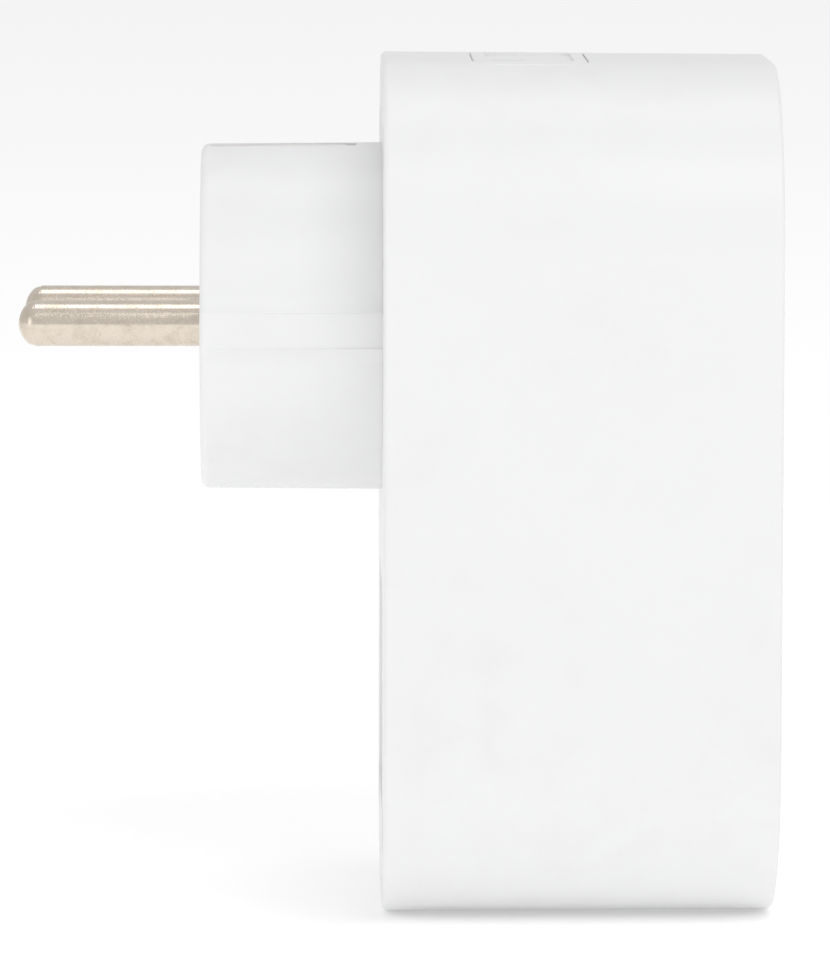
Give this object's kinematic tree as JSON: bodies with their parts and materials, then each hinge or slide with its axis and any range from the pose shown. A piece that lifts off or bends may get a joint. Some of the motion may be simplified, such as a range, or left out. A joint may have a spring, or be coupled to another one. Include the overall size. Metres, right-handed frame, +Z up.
{
  "type": "smart plug",
  "caption": "Tall white plug-through adapter with two round pins, a recessed socket in front and a flush power button on top.",
  "frame": {"origin": "middle of the footprint, at the lower end of the housing", "axes": "+X out of the front socket (the pins point along -X), +Y across the width, +Z up towards the power button"},
  "size_m": [0.079, 0.056, 0.0895],
  "materials": {
    "housing_white": "satin moulded",
    "button_white": "satin moulded",
    "socket_white": "satin moulded",
    "pin_nickel": "nickel plated, drawn",
    "contact_metal": "nickel plated strip",
    "light_window": "translucent white",
    "carrier_plastic": "moulded",
    "shutter_plastic": "moulded",
    "spring_steel": "wire",
    "screw_steel": "zinc plated",
    "board_green": "coated laminate",
    "dark_case": "moulded",
    "ferrite": "fired ferrite",
    "sleeve_black": "shrink sleeve",
    "capacitor_yellow": "moulded",
    "resistor_coat": "lacquer",
    "varistor_blue": "dipped coat",
    "shield_tin": "tinned sheet",
    "header_white": "moulded",
    "cable_grey": "ribbon insulation"
  },
  "bodies": {
    "housing": {"front_housing": "housing_white", "rear_cover": "housing_white", "plug_boss": "housing_white", "socket_insert": "socket_white", "line_pin": "pin_nickel", "neutral_pin": "pin_nickel", "earth_contact_top": "contact_metal", "earth_contact_bottom": "contact_metal", "earth_strap": "contact_metal", "line_input_strip": "contact_metal", "neutral_input_strip": "contact_metal", "line_clip": "contact_metal", "neutral_clip": "contact_metal", "pin_carrier": "carrier_plastic", "contact_carrier": "carrier_plastic", "shutter_spring": "spring_steel", "housing_screws": "screw_steel", "carrier_screws": "screw_steel", "main_board": "board_green", "button_board": "board_green", "radio_module": "board_green", "relay": "dark_case", "switch_body": "dark_case", "transformer": "ferrite", "bulk_capacitors": "sleeve_black", "filter_capacitor": "capacitor_yellow", "fuse_resistor": "resistor_coat", "varistor": "varistor_blue", "radio_shield": "shield_tin", "ribbon_header": "header_white", "ribbon_cable": "cable_grey", "status_led": "light_window"},
    "button": {"power_button": "button_white", "light_pipe": "light_window"},
    "switch": {"switch_plunger": "dark_case"},
    "shutter": {"shutter": "shutter_plastic"}
  },
  "joints": [
    {"name": "button_press", "type": "slide", "parent": "housing", "child": "button", "axis": [0, 0, -1], "range_m": [0, 0.0005], "stiffness_N_per_m": 1200, "springref_m": -0.0005},
    {"name": "switch_press", "type": "slide", "parent": "housing", "child": "switch", "axis": [0, 0, -1], "range_m": [0, 0.0005]},
    {"name": "shutter_turn", "type": "hinge", "parent": "housing", "child": "shutter", "pos_m": [0.0185, 0, 0.062], "axis": [1, 0, 0], "range_deg": [0, 40], "stiffness_Nm_per_rad": 0.004, "springref_deg": -20.05}
  ],
  "couplings": [
    {"joint": "switch_press", "follows": "button_press", "ratio": 1}
  ]
}
